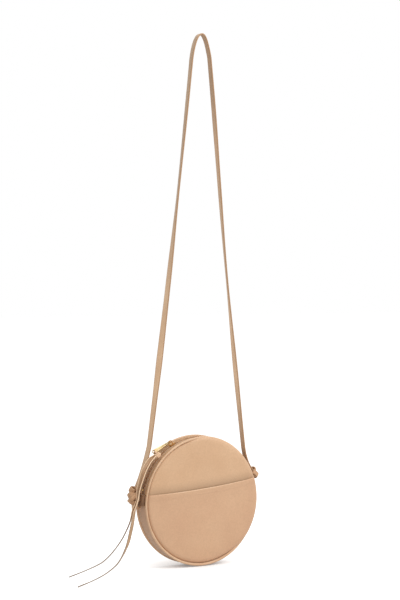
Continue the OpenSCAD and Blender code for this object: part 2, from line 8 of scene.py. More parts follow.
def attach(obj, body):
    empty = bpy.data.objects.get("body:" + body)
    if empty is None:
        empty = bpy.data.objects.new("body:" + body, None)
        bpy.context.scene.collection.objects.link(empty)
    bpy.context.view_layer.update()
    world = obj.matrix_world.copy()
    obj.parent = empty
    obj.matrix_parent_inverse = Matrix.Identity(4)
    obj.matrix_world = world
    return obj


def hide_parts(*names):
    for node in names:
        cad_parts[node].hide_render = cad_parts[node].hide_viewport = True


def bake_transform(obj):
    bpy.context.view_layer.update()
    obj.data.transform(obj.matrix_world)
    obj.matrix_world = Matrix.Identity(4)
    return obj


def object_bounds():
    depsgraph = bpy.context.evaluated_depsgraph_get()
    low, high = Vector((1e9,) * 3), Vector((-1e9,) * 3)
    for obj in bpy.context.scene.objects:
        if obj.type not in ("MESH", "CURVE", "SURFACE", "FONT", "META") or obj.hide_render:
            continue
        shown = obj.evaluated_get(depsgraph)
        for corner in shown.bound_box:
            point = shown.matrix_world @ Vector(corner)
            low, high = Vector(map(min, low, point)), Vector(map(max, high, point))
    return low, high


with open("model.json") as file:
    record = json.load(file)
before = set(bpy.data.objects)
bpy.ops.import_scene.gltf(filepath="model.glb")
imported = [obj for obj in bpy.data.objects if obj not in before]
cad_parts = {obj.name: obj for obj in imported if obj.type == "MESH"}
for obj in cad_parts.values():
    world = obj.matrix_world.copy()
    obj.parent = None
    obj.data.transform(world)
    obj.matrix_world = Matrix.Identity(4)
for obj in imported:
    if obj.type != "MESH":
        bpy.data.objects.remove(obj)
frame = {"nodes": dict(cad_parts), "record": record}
cadLow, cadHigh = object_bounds()
mm = 0.001
joints = {j["name"]: j for j in frame["record"]["behaviour"]["joints"]}
bagCentre = Vector(joints["zip_slider_travel"]["pos_m"])
swingAxis = joints["bag_swing"]["axis"]
lean = atan2(swingAxis[2], swingAxis[0])
sideWay = Vector((0, 1, 0))
print("frame loaded, bag's middle at", tuple(round(c, 4) for c in bagCentre))

# Places: the bag's own frame leans with the bag, x to the right, z up, y to the back, all in millimetres


def bagPoint(x, z, y):
    turnedX = x * cos(lean) - z * sin(lean)
    turnedZ = x * sin(lean) + z * cos(lean)
    return bagCentre + Vector((turnedX, y, turnedZ)) * mm


def drumPoint(angle, radius, y, along=0.0):  # angle counter-clockwise from the bag's right side
    a = radians(angle)
    return bagPoint(radius * cos(a) - along * sin(a), radius * sin(a) + along * cos(a), y)


def straightPoint(x, y, z):  # millimetres from the bag's middle, upright
    return bagCentre + Vector((x, y, z)) * mm


def smooth(low, high, value):
    s = min(max((value - low) / (high - low), 0.0), 1.0)
    return s * s * (3 - 2 * s)


# Mesh tools


def newObject(name, mesh, material, body, slot=None, nodes=()):
    piece = bpy.data.objects.new(name, mesh)
    bpy.context.scene.collection.objects.link(piece)
    for m in material if isinstance(material, (list, tuple)) else [material]:
        mesh.materials.append(m)
    if body:
        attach(piece, body)
    if nodes:
        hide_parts(*nodes)
    return piece


def loftMesh(name, rings, closeRing=True, closeRun=False, caps=True, edgeFaces=()):
    # rings of points of equal count, joined one to the next; UV holds metres round the ring and along the run
    count, size = len(rings), len(rings[0])
    # a closed form is measured along its middle, an open sheet along its first column
    spine = [sum(ring, Vector()) / size if closeRing else ring[0] for ring in rings]
    girth = rings[count // 2]
    run, around = [0.0], [0.0]
    for i in range(count):
        run.append(run[-1] + (spine[(i + 1) % count] - spine[i]).length)
    for k in range(size):
        around.append(around[-1] + (girth[(k + 1) % size] - girth[k]).length)
    faces, uvs, slots = [], [], []
    for i in range(count if closeRun else count - 1):
        n = (i + 1) % count
        for k in range(size if closeRing else size - 1):
            m = (k + 1) % size
            faces.append((i * size + k, i * size + m, n * size + m, n * size + k))
            uvs.append([(around[a], run[r]) for a, r in ((k, i), (k + 1, i), (k + 1, i + 1), (k, i + 1))])
            slots.append(int(k in edgeFaces))
    if caps and closeRing and not closeRun:
        for i, order in ((0, range(size - 1, -1, -1)), (count - 1, range(size))):
            faces.append(tuple(i * size + k for k in order))
            uvs.append([(0.0, 0.0)] * size)
            slots.append(int(bool(edgeFaces)))
    mesh = bpy.data.meshes.new(name)
    mesh.from_pydata([tuple(p) for ring in rings for p in ring], [], faces)
    layer = mesh.uv_layers.new(name="UVMap")
    layer.data.foreach_set("uv", [c for face in uvs for corner in face for c in corner])
    mesh.polygons.foreach_set("material_index", slots)
    mesh.polygons.foreach_set("use_smooth", [True] * len(faces))
    mesh.update()
    mesh.validate()
    return mesh


def turnOutward(mesh):  # makes every face of a closed mesh look outwards
    work = bmesh.new()
    work.from_mesh(mesh)
    bmesh.ops.recalc_face_normals(work, faces=work.faces)
    work.to_mesh(mesh)
    work.free()
    return mesh


def tubesMesh(name, tubes):  # small closed tubes, each a list of rings
    points, faces = [], []
    for rings in tubes:
        base, size = len(points), len(rings[0])
        points += [tuple(p) for ring in rings for p in ring]
        for i in range(len(rings) - 1):
            for k in range(size):
                a, b = base + i * size + k, base + i * size + (k + 1) % size
                faces.append((a, b, b + size, a + size))
        faces.append(tuple(base + k for k in range(size - 1, -1, -1)))
        faces.append(tuple(len(points) - size + k for k in range(size)))
    mesh = bpy.data.meshes.new(name)
    mesh.from_pydata(points, [], faces)
    mesh.polygons.foreach_set("use_smooth", [True] * len(faces))
    return turnOutward(mesh)


def addThickness(piece, thickness, offset=-1):
    shell = piece.modifiers.new("thickness", "SOLIDIFY")
    shell.thickness = thickness * mm
    shell.offset = offset


def addBevel(piece, width, segments=2, angle=40):
    bevel = piece.modifiers.new("roundedEdges", "BEVEL")
    bevel.width = width
    bevel.segments = segments
    bevel.limit_method = "ANGLE"
    bevel.angle_limit = radians(angle)
    bevel.harden_normals = False


def curvePoints(points, count):  # smooth run through the points, evenly spaced
    dense = []
    for i in range(len(points) - 1):
        a, b, c, d = points[max(i - 1, 0)], points[i], points[i + 1], points[min(i + 2, len(points) - 1)]
        for k in range(24):
            s = k / 24
            dense.append(0.5 * (2 * b + (c - a) * s + (2 * a - 5 * b + 4 * c - d) * s * s
                                + (3 * b - a - 3 * c + d) * s ** 3))
    dense.append(points[-1])
    return evenPoints(dense, count)


def evenPoints(dense, count):
    lengths = [0.0]
    for a, b in zip(dense, dense[1:]):
        lengths.append(lengths[-1] + (b - a).length)
    result, at = [], 0
    for i in range(count):
        goal = lengths[-1] * i / (count - 1)
        while at < len(dense) - 2 and lengths[at + 1] < goal:
            at += 1
        part = (goal - lengths[at]) / max(lengths[at + 1] - lengths[at], 1e-9)
        result.append(dense[at].lerp(dense[at + 1], min(max(part, 0), 1)))
    return result


def runLength(points):
    return sum((b - a).length for a, b in zip(points, points[1:]))


edgeSteps = 6  # points round each cut edge of a strip


def stripRing(width, thickness, flats, puff):
    # section of a leather strip: a flat side, a rounded edge, the other flat side, the other edge
    r = thickness * 0.45
    half, thin = width / 2 - r, thickness / 2 - r
    ring = []
    for way in (1, -1):
        for i in range(flats + 1):
            x = half - 2 * half * i / flats
            ring.append((way * x, way * (thickness / 2 + puff * (1 - (x / half) ** 2))))
        for i in range(1, edgeSteps):
            a = radians(way * 90 + 180 * i / edgeSteps)
            ring.append((r * cos(a) - way * half, (thin + r) * sin(a)))
    return ring


def addStrip(name, looks, nodes, path, acrossAt, widthAt, thickness, closed=False, puff=0.0, flats=3):
    # looks: its materials, body and slot, the slot not used; width, thickness and puff in mm
    rings = []
    count = len(path)
    for i, point in enumerate(path):
        if closed:
            tangent = (path[(i + 1) % count] - path[i - 1]).normalized()
        else:
            tangent = (path[min(i + 1, count - 1)] - path[max(i - 1, 0)]).normalized()
        s = i / (count if closed else count - 1)
        across = acrossAt(s, point, tangent)
        across = (across - tangent * across.dot(tangent)).normalized()
        width = widthAt(s)
        swell = puff * min(width / 8, 1)  # a narrow strip puffs less
        ring = stripRing(width * mm, thickness * mm, flats, swell * mm)
        up = tangent.cross(across)
        rings.append([point + across * x + up * y for x, y in ring])
    side = flats + edgeSteps
    cutEdges = {*range(flats, side), *range(flats + side, 2 * side + 1)}
    mesh = turnOutward(loftMesh(name, rings, closeRun=closed, edgeFaces=cutEdges))
    return newObject(name, mesh, *looks, nodes)


def setPaintedShading(piece, shadingAt):  # painted light and shade, read by the leather's material
    paintedShading = piece.data.attributes.new("paintedShading", "FLOAT", "POINT")
    for vertex, entry in zip(piece.data.vertices, paintedShading.data):
        entry.value = shadingAt(vertex.co)


def stitchMesh(name, places, length, radius):
    # places: (middle, along, out) of every stitch; each one is a small thread that dips in at both ends
    stitches = []
    for middle, along, out in places:
        side = along.cross(out)
        rings = []
        for s, lift, r in ((-0.5, -0.5, 0.5), (-0.36, 0.35, 0.95), (0, 0.6, 1), (0.36, 0.35, 0.95),
                           (0.5, -0.5, 0.5)):
            at = middle + along * s * length + out * lift * radius
            turns = [radians(60 * k) for k in range(6)]
            rings.append([at + (side * cos(a) + out * sin(a)) * r * radius for a in turns])
        stitches.append(rings)
    return tubesMesh(name, stitches)


# Camera: left of the front and a little above the bag's middle
photo = {
    "width": 400, "height": 600,  # pixels
    "bagX": 197.35, "bagY": 499.66,  # where the bag's middle lies in the picture
    "azimuth": 30.0, "elevation": 7.56,  # degrees, from the left of the front and upwards
    "focalPixels": 1700.0, "distance": 2.6775,  # metres
}
azimuth, elevation = radians(photo["azimuth"]), radians(photo["elevation"])
backward = Vector((-sin(azimuth) * cos(elevation), -cos(azimuth) * cos(elevation),
                   sin(elevation)))
offX = photo["bagX"] - photo["width"] / 2
offY = photo["bagY"] - photo["height"] / 2
focal = photo["focalPixels"]
ray = sqrt(offX ** 2 + offY ** 2 + focal ** 2)
pitch = atan2(offY, focal) - asin(ray * sin(elevation) / hypot(offY, focal))
heading = azimuth - atan2(offX, focal * cos(pitch) + offY * sin(pitch))
cameraData = bpy.data.cameras.new("camera")
cameraData.sensor_width = 36
cameraData.lens = focal * cameraData.sensor_width / photo["height"]
cameraData.clip_start = 0.05
cameraData.clip_end = 50
camera = bpy.data.objects.new("camera", cameraData)
camera.location = bagCentre + backward * photo["distance"]
camera.rotation_euler = (pi / 2 + pitch, 0, -heading)
bpy.context.scene.collection.objects.link(camera)
bpy.context.scene.camera = camera
print("camera placed, pitch", round(degrees(pitch), 2), "heading", round(degrees(heading), 2))


# Material tools


def paint(hexColour):  # sRGB hex to linear
    channels = [int(hexColour[i:i + 2], 16) / 255 for i in (1, 3, 5)]
    return tuple(c / 12.92 if c <= 0.04045 else ((c + 0.055) / 1.055) ** 2.4 for c in channels) + (1.0,)


def addNode(tree, kind, inputs=None, stops=(), **settings):
    # an input takes a value, a socket or a node's first output; stops belong to a colour ramp
    node = tree.nodes.new("ShaderNode" + kind)
    for name, value in settings.items():
        setattr(node, name, value)
    for element, (position, colour) in zip(node.color_ramp.elements if stops else (), stops):
        element.position = position
        element.color = colour
    for name, value in (inputs or {}).items():
        if isinstance(value, bpy.types.Node):
            value = value.outputs[0]
        if isinstance(value, bpy.types.NodeSocket):
            tree.links.new(value, node.inputs[name])
        else:
            node.inputs[name].default_value = value
    return node


def perMetre(millimetres):  # texture scale that repeats at a real size
    return 1000.0 / millimetres


def waveScale(millimetres):  # the same for straight waves, which at scale 1 repeat after pi / 10
    return perMetre(millimetres) * pi / 10


def emptyTree(owner):
    owner.use_nodes = True
    owner.node_tree.nodes.clear()
    return owner.node_tree


def makeMaterial(name, surface, light, dark, **sizes):  # surface adds its nodes and says what the shader gets
    material = bpy.data.materials.new(name)
    tree = emptyTree(material)
    at = addNode(tree, "TexCoord").outputs
    shader = addNode(tree, "BsdfPrincipled", surface(tree, at, paint(light), paint(dark), **sizes))
    addNode(tree, "OutputMaterial", {"Surface": shader})
    return material


def vegTanCowhide(tree, at, light, dark, grain=1.1, roughness=0.5, sheen=0.15, cloud=55, pull=0.25):
    # Vegetable-tanned cowhide, milled smooth and lightly waxed: soft broad highlights, a fine pebble
    # that only shows at a glance, and a hide that is a little darker in clouds where it took up oil. A piece
    # can carry painted shading: under 0 it is painted shade, over 0 painted light.
    place = {"Vector": at["Object"]}
    clouds = addNode(tree, "TexNoise", {**place, "Scale": perMetre(cloud), "Detail": 3.0, "Roughness": 0.55})
    fibres = addNode(tree, "TexNoise", {**place, "Scale": perMetre(2.4), "Detail": 5.0, "Roughness": 0.65})
    hide = addNode(tree, "ValToRGB", {"Fac": clouds}, [(0.3, dark), (0.7, light)])
    flecks = addNode(tree, "ValToRGB", {"Fac": fibres},
                     [(0.3, (0.86, 0.84, 0.82, 1)), (0.65, (1.04, 1.04, 1.04, 1))])
    colour = addNode(tree, "Mix", {0: 0.55, 6: hide, 7: flecks}, data_type="RGBA", blend_type="MULTIPLY")
    # painted light and shade, scaling the hide's colour
    paintedShading = addNode(tree, "Attribute", attribute_name="paintedShading")
    level = addNode(tree, "Math", {0: paintedShading.outputs["Fac"], 1: 1.0}, operation="ADD")
    shadedColour = addNode(tree, "VectorMath", {0: colour.outputs[2], "Scale": level}, operation="SCALE")
    pebble = addNode(tree, "TexVoronoi", {**place, "Scale": perMetre(grain), "Randomness": 0.9},
                     feature="SMOOTH_F1")
    creases = addNode(tree, "TexNoise", {**place, "Scale": perMetre(grain * 7), "Detail": 4.0})
    shine = addNode(tree, "MapRange", {
        "Value": fibres, "To Min": roughness - 0.06, "To Max": roughness + 0.08})
    low = addNode(tree, "Bump", {"Height": creases, "Strength": pull, "Distance": 0.0006})
    fine = addNode(tree, "Bump", {"Height": pebble, "Strength": 0.22, "Distance": 0.00025, "Normal": low})
    return {"Base Color": shadedColour, "Roughness": shine, "Normal": fine, "IOR": 1.46,
            "Sheen Weight": sheen, "Sheen Roughness": 0.5}


def rawCutEdge(tree, at, light, dark, handled=None, below=0.0):
    # Cut edge of the same hide, sanded but not painted: loose fibres in layers, dull and a little darker.
    # Below a height it can be painted darker still: painted shade.
    place = {"Vector": at["Object"]}
    layers = addNode(tree, "TexNoise", {**place, "Scale": perMetre(0.7), "Detail": 4.0, "Roughness": 0.7})
    colour = addNode(tree, "ValToRGB", {"Fac": layers}, [(0.3, dark), (0.7, light)])
    if handled:
        # below the given height the edge is painted darker: painted shade
        height = addNode(tree, "SeparateXYZ", place).outputs["Z"]
        worn = addNode(tree, "MapRange", {"Value": height, "From Min": below, "From Max": below - 0.022})
        colour = addNode(tree, "Mix", {0: worn, 6: colour, 7: paint(handled)}, data_type="RGBA").outputs[2]
    rough = addNode(tree, "Bump", {"Height": layers, "Strength": 0.35, "Distance": 0.0002})
    return {"Base Color": colour, "Roughness": 0.72, "Normal": rough}


def polyesterZipTape(tree, at, light, dark):
    # Woven polyester tape: cord ribs across it, crossed by a fine twill, matt with a slight sheen. Real ribs
    # lie about 1 mm apart; they are drawn 1.84 mm apart, and the twill too is coarse, so that both show.
    ribs, twill = [
        addNode(tree, "TexWave", {"Vector": at["UV"], "Scale": waveScale(apart), "Distortion": bend},
                bands_direction=way) for apart, bend, way in ((1.8424, 0.15, "Y"), (1.1843, 0.1, "DIAGONAL"))]
    weave = addNode(tree, "Mix", {0: 0.4, 6: ribs, 7: twill}, data_type="RGBA").outputs[2]
    colour = addNode(tree, "ValToRGB", {"Fac": weave}, [(0.2, dark), (0.8, light)])
    raised = addNode(tree, "Bump", {"Height": weave, "Strength": 0.6, "Distance": 0.0003})
    return {"Base Color": colour, "Roughness": 0.8, "Sheen Weight": 0.25, "Normal": raised}


def platedZinc(tree, at, light, dark):
    # Cast zinc, tumbled and plated in pale gold: a soft mirror with a slight haze and fine wear
    place = {"Vector": at["Object"]}
    haze = addNode(tree, "TexNoise", {**place, "Scale": perMetre(3), "Detail": 3.0})
    colour = addNode(tree, "ValToRGB", {"Fac": haze}, [(0.35, dark), (0.65, light)])
    shine = addNode(tree, "MapRange", {"Value": haze, "To Min": 0.28, "To Max": 0.44})
    scratches = addNode(tree, "TexNoise", {**place, "Scale": perMetre(0.8), "Detail": 2.0})
    worn = addNode(tree, "Bump", {"Height": scratches, "Strength": 0.08, "Distance": 0.0001})
    return {"Base Color": colour, "Metallic": 1.0, "Roughness": shine, "Normal": worn}


def wovenCotton(tree, at, light, dark, pair=1.1843):
    # Plain-woven cotton: over and under threads, matt, with a little fuzz. A pair of threads, one over and
    # one under, is drawn about twice as wide as a real one, so that it shows.
    warp, weft = [
        addNode(tree, "TexWave", {"Vector": at["Object"], "Scale": waveScale(pair), "Distortion": 0.3},
                bands_direction=way) for way in "XZ"]
    weave = addNode(tree, "Mix", {0: 0.5, 6: warp, 7: weft}, data_type="RGBA").outputs[2]
    colour = addNode(tree, "ValToRGB", {"Fac": weave}, [(0.1, dark), (0.9, light)])
    raised = addNode(tree, "Bump", {"Height": weave, "Strength": 0.4, "Distance": 0.0002})
    return {"Base Color": colour, "Roughness": 0.9, "Sheen Weight": 0.3, "Normal": raised}


def mouldedNylon(tree, at, light, dark):
    # Nylon coil, moulded and dyed with its tape: a low plastic shine on small round loops
    dye = addNode(tree, "TexNoise", {"Vector": at["Object"], "Scale": perMetre(5), "Detail": 2.0})
    colour = addNode(tree, "ValToRGB", {"Fac": dye}, [(0.3, dark), (0.7, light)])
    fine = addNode(tree, "Bump", {"Height": dye, "Strength": 0.1, "Distance": 0.0001})
    return {"Base Color": colour, "Roughness": 0.42, "IOR": 1.53, "Normal": fine}


def pressedFibreboard(tree, at, light, dark):
    # Pressed fibre board: matt, flecked, with short felted fibres
    place = {"Vector": at["Object"]}
    felt = addNode(tree, "TexNoise", {**place, "Scale": perMetre(1.5), "Detail": 6.0, "Roughness": 0.75})
    colour = addNode(tree, "ValToRGB", {"Fac": felt}, [(0.35, dark), (0.65, light)])
    rough = addNode(tree, "Bump", {"Height": felt, "Strength": 0.3, "Distance": 0.0003})
    return {"Base Color": colour, "Roughness": 0.85, "Normal": rough}


def cowhide(name, light, dark, **sizes):
    return makeMaterial(name, vegTanCowhide, light, dark, **sizes)


faceHide = cowhide("veg_tan_cowhide_face", "#DAB38E", "#D4AB85")
pocketHide = cowhide("veg_tan_cowhide_pocket", "#D8AF8B", "#D2A784")
# the gusset's hide is a darker copy of the face's: painted shade on the bag's side
gussetShadedHide = cowhide("veg_tan_cowhide_gusset_painted_shade", "#CBA585", "#BC9472", cloud=35)
# the lugs' hide is painted darker than the rest of the leather: painted shade round the strap's turns and
# knots
lugShadedHide = cowhide("cowhide_lug_painted_shade", "#9E7757", "#866144", cloud=12, roughness=0.46)
pipingHide = cowhide("veg_tan_cowhide_piping", "#E2BD9A", "#D6AE8A", grain=0.8, cloud=25)
strapHide = cowhide("veg_tan_cowhide_strap", "#DDBB98", "#CAA684", grain=0.9, cloud=60, roughness=0.55)
# a darker copy of the strap's hide: painted shade in the knots and the strap's turns
knotShadedHide = cowhide("veg_tan_cowhide_knot_painted_shade", "#D9B08A", "#BD9069", grain=0.9, cloud=9, pull=0.5)
laceHide = cowhide("veg_tan_cowhide_lace", "#E3BC99", "#D0A37E", grain=0.8, cloud=18)
# paler hide for the hem's fold: a painted highlight
hemHighlight = cowhide("cowhide_fold_painted_highlight", "#E9C7A4", "#DCB68F", cloud=12, roughness=0.4)
# the lace's flesh side, a real side of the hide, painted darker: painted shade on that flat of the strands
laceFleshShaded = cowhide("cowhide_flesh_side_lace_painted_shade", "#BE9C7C", "#A5825F", grain=0.6, cloud=14, roughness=0.66,
                    sheen=0.3)
strapEdge = makeMaterial("raw_cut_edge_strap", rawCutEdge, "#C9A27D", "#A67F5C")
# the lace's cut edge is painted near white, a painted highlight on its lit edge, and darker below the bag's
# middle, painted shade
laceEdgeLitAndShaded = makeMaterial("raw_cut_edge_lace_painted_light", rawCutEdge, "#FFE0BE", "#F1CAA2", handled="#86725C",
                        below=bagCentre.z - 0.006)
zipTape = makeMaterial("woven_polyester_tape", polyesterZipTape, "#D0A578", "#A17A52")
zipNylon = makeMaterial("moulded_nylon_coil", mouldedNylon, "#DCAF83", "#B98D64")
paleGold = makeMaterial("plated_zinc_pale_gold", platedZinc, "#CBB78E", "#B0996E")
deepGold = makeMaterial("plated_zinc_deep_gold", platedZinc, "#D9AE72", "#B98A52")
waxedThread = makeMaterial("waxed_polyester_thread", wovenCotton, "#E8CDAE", "#CDAE8A", pair=0.7896)
liningCotton = makeMaterial("woven_cotton_lining", wovenCotton, "#CFB99F", "#B39C82")
fillerCotton = makeMaterial("twisted_cotton_cord", wovenCotton, "#DED2BE", "#C2B39B")
fibreboard = makeMaterial("pressed_fibre_board", pressedFibreboard, "#93816C", "#75644F")
print("materials made")

# The lace: one long flat strip, folded through the puller, so that two strands hang from its hitch
lace = {
    "width": 5.2, "thickness": 1.4,  # mm
    "front": [
        (-78, -11.5, 75.5), (-80.5, -12, 73), (-84.3, -12.5, 69.5), (-90, -13, 64), (-97.5, -14, 53),
        (-103.5, -14, 39), (-109, -14, 24), (-112.6, -14.5, 9), (-119, -15, -9), (-123.4, -17, -25),
        (-128.8, -21, -38), (-136.4, -27, -53), (-148, -35, -67), (-163, -44, -80), (-181, -53, -88),
        (-198, -61, -93), (-223, -74, -97), (-249, -86, -100),
    ],
    "back": [
        (-78, -8, 75.5), (-82.5, -8, 73.3), (-88.5, -8.5, 70), (-94.5, -9.5, 64), (-101.5, -10.5, 53),
        (-106.5, -11, 39), (-110.5, -11, 24), (-111.5, -11, 10), (-115, -11, 1), (-119.5, -11.5, -6),
        (-122, -11.5, -15), (-124.5, -11, -24), (-129.5, -10, -36), (-138, -9, -51), (-151, -8, -67),
        (-164, -7, -79), (-177, -7, -86), (-202, -7, -94), (-225, -7, -100),
    ],
    # share of the length, then degrees: 0 has the cut edge to the front left, 90 the flat side
    "frontTurn": [
        (0, 30), (0.08, 4), (0.3, 4), (0.36, 50), (0.42, 84), (0.49, 66), (0.55, 30), (0.62, 8), (0.9, 4),
        (1, 14),
    ],
    "backTurn": [(0, 60), (0.12, 78), (0.3, 74), (0.38, 40), (0.47, 10), (0.7, 4), (0.92, 4), (1, 12)],
    "frontPinch": [(0, 0.62), (0.06, 0.8), (0.14, 1), (0.94, 0.95), (1, 0.6)],
    "backPinch": [(0, 0.62), (0.06, 0.9), (0.16, 1), (0.94, 0.9), (1, 0.6)],
}


def tableValue(table, s):
    for (s0, v0), (s1, v1) in zip(table, table[1:]):
        if s <= s1:
            return v0 + (v1 - v0) * smooth(s0, s1, s)
    return table[-1][1]


def laceAcross(turnTable):
    def across(s, point, tangent):
        edgeOn = (backward - tangent * backward.dot(tangent)).normalized()
        turn = radians(tableValue(turnTable, s))
        return edgeOn * cos(turn) + tangent.cross(edgeOn) * sin(turn)
    return across


strandLooks = [laceHide, laceEdgeLitAndShaded, laceFleshShaded], "laces", "lace_leather"
laceFaces = 18  # faces round the strip; the second half has one flat, which is the flesh side, painted darker as shade
for side in ("front", "back"):
    name = "lace_" + side + "_strand"
    route = curvePoints([straightPoint(*p) for p in lace[side]], 170)
    strand = addStrip(name, strandLooks, ["lace_" + side], route, laceAcross(lace[side + "Turn"]),
                      lambda s, pinch=lace[side + "Pinch"]: lace["width"] * tableValue(pinch, s),
                      lace["thickness"])
    for face in strand.data.polygons:
        if face.material_index == 0 and face.index % laceFaces >= laceFaces // 2:
            face.material_index = 2
    print("lace strand laid,", side, round(runLength(route), 3), "m")

# The bag's round body: sizes in mm from its middle, angles counter-clockwise from its right side
body = {
    "faceRadius": 96.2, "faceEdge": 14.8, "bulge": 4.5, "faceReach": 97.4, "faceThickness": 1.3,
    "edgeFrom": 93.2, "edgeRun": 4.2, "edgeDrop": 3.9,  # where the face turns down into its seam
    # where a full face rolls over its piping instead: its start, its wide crown, how far out and how deep
    "rollFrom": 86, "rollCrown": 112.0, "rollOut": 13.1, "rollDepth": 14.2,
    "sags": [(40, 42, 0.5), (90, 17, 0.1)],  # seed, size and height of the unevenness
    "gussetRadius": 98.8, "gussetDome": 0.7, "gussetThickness": 1.4, "lugAngle": 8.5, "lugHalf": 8.5,
    # piping by angle: its ring's radius, its depth from the bag's middle and its own radius
    "piping": [
        (-180, 98.6, 14.6, 1.75), (-130, 98.8, 14.4, 1.9), (-95, 99.1, 14.3, 2.2), (-68, 98.9, 14.0, 2.2),
        (-40, 98.5, 13.3, 2.0), (0, 98.4, 13.2, 2.0), (80, 98.5, 13.3, 2.0), (104, 98.2, 14.7, 1.7),
        (125, 98.0, 15.0, 1.5), (158, 98.1, 15.0, 1.6), (180, 98.6, 14.6, 1.75),
    ],
    "backPiping": (98.8, 14.2, 2.1),  # even all round
}
lugSpan = degrees(body["lugHalf"] / 99.0)
zipEnd = body["lugAngle"] + lugSpan + 0.06


def pipingAt(angle, side):  # ring radius, depth and own radius
    if side > 0:
        return body["backPiping"]
    a = (angle + 180) % 360 - 180
    for low, high in zip(body["piping"], body["piping"][1:]):
        if a <= high[0]:
            s = smooth(low[0], high[0], a)
            return tuple(low[i] + (high[i] - low[i]) * s for i in (1, 2, 3))


def rollOver(angle):  # the face rolls over its piping at the upper right and lies behind it at the lower left
    a = (angle + 180) % 360 - 180
    return smooth(-72, -38, a) * (1 - smooth(82, 106, a))


def faceProfile(s, angle, side):  # s runs over the leather from the middle to the seam
    edge, start = body["faceEdge"], body["rollFrom"]
    height = edge + body["bulge"] * (1 - (s / body["faceRadius"]) ** 3)
    height -= body["edgeDrop"] * max(0.0, (s - body["edgeFrom"]) / body["edgeRun"]) ** 1.7
    roll = rollOver(angle) if side < 0 else 0.25
    if not roll:
        return s, height
    radius, full = s, edge + body["bulge"] * (1 - (s / body["rollCrown"]) ** 5)
    if s > start:
        turn = (s - start) / (body["faceReach"] - start) * pi / 2
        shoulder = edge + body["bulge"] * (1 - (start / body["rollCrown"]) ** 5)
        radius = start + body["rollOut"] * sin(turn) ** 0.8
        full = body["rollDepth"] + (shoulder - body["rollDepth"]) * max(cos(turn), 0.0) ** 0.8
    return s + (radius - s) * roll, height + (full - height) * roll


def facePoint(s, angle, side, lift):  # side -1 is the front; lift stands off the panel
    r0, h0 = faceProfile(max(s - 0.4, 0), angle, side)
    r1, h1 = faceProfile(s, angle, side)
    slope = atan2(h0 - h1, max(r1 - r0, 1e-6)) if s > 0.4 else 0.0
    x, z = s * cos(radians(angle)), s * sin(radians(angle))
    sag = sum(noise.noise(Vector((x, z, side * seed)) / size) * height for seed, size, height in body["sags"])
    lift += sag * smooth(97, 78, s)
    return drumPoint(angle, r1 + lift * sin(slope), side * (h1 + lift * cos(slope)))


def makeFace(name, side, node):
    reach = body["faceReach"]
    radii = [0.001] + [reach * (1 - (1 - i / 40) ** 1.45) for i in range(1, 41)]
    rings = [[facePoint(s, 2.5 * k, side, 0) for k in range(144)] for s in radii]
    mesh = turnOutward(loftMesh(name, rings, caps=False))
    piece = newObject(name, mesh, faceHide, "bag", "face_leather", [node])
    addThickness(piece, body["faceThickness"])
    return piece


frontFace = makeFace("front_face_leather", -1, "front_panel")
makeFace("back_face_leather", 1, "back_panel")

# Front slip pocket: a second skin with a turned hem along its mouth
pocket = {
    "mouthEnds": 22.5, "mouthDip": 2.5, "thickness": 1.4, "hem": 8.0, "hemRise": 0.45,
    "gape": 1.3, "stitchLine": 6.3, "reach": 97.1,
    "shade": 0.26, "shadeReach": 16, "shadeFall": 1.3,
}


def mouthHeight(x):
    return pocket["mouthEnds"] - pocket["mouthDip"] * (1 - (x / body["faceRadius"]) ** 2)


def mouthShade(point):  # the face is painted darker towards the pocket's mouth: painted shade just above the pocket
    away = (point - bagCentre) / mm
    x = away.x * cos(lean) + away.z * sin(lean)
    z = away.z * cos(lean) - away.x * sin(lean)
    share = min(max((z - mouthHeight(x)) / pocket["shadeReach"], 0), 1)
    return -pocket["shade"] * (1 - share) ** pocket["shadeFall"]


setPaintedShading(frontFace, mouthShade)
mouthX = sqrt(pocket["reach"] ** 2 - pocket["mouthEnds"] ** 2)
mouthAngle = degrees(asin(pocket["mouthEnds"] / pocket["reach"]))


def pocketPoint(u, v):  # u from -1 to 1 along the mouth, v from 0 at the mouth to 1 at the seam
    topX = u * mouthX
    topZ = mouthHeight(topX)
    a = radians(270 + u * (90 + mouthAngle))
    lowX, lowZ = pocket["reach"] * cos(a), pocket["reach"] * sin(a)
    x, z = topX + (lowX - topX) * v, topZ + (lowZ - topZ) * v
    drop = mouthHeight(x) - z
    s, angle = hypot(x, z), degrees(atan2(z, x))
    middle = 1 - min(1.0, abs(x) / body["faceRadius"]) ** 3
    lift = pocket["thickness"] + 0.15 + pocket["gape"] * middle * smooth(30, 0, drop)
    lift += pocket["hemRise"] * smooth(pocket["hem"] + 0.9, pocket["hem"] - 0.4, drop) * smooth(97, 93, s)
    lift -= 0.8 * (1 - min(1.0, drop / 0.9)) ** 2
    lift -= 0.2 * exp(-((drop - pocket["stitchLine"]) / 0.7) ** 2)
    lift *= smooth(pocket["reach"] + 0.6, pocket["reach"] - 5.5, s) * 0.75 + 0.25
    return facePoint(s, angle, -1, lift)


# rows from the mouth down: three on the fold of the hem, then the hem, then the rest
rows = [0, 0.003, 0.006, 0.01, 0.02, 0.035]
rows += [0.05 + 0.008 * i for i in range(9)] + [0.13 + 0.87 * i / 36 for i in range(37)]
columns = 120
rings = [[pocketPoint(-1 + 2 * k / columns, v) for k in range(columns + 1)] for v in rows]
pocketMesh = loftMesh("front_slip_pocket", rings, closeRing=False)
pocketMesh.flip_normals()
pocketPiece = newObject("front_slip_pocket", pocketMesh, [pocketHide, hemHighlight], "bag", "face_leather",
                        ["front_pocket"])
for face in pocketMesh.polygons:  # the fold of the hem is painted paler: a painted highlight on its rounded top
    if face.index < 3 * columns:
        face.material_index = 1
addThickness(pocketPiece, pocket["thickness"])
print("faces and pocket made")

# Piping: leather sleeve over a filler cord, with the fine ripples of a sleeve pulled round a curve


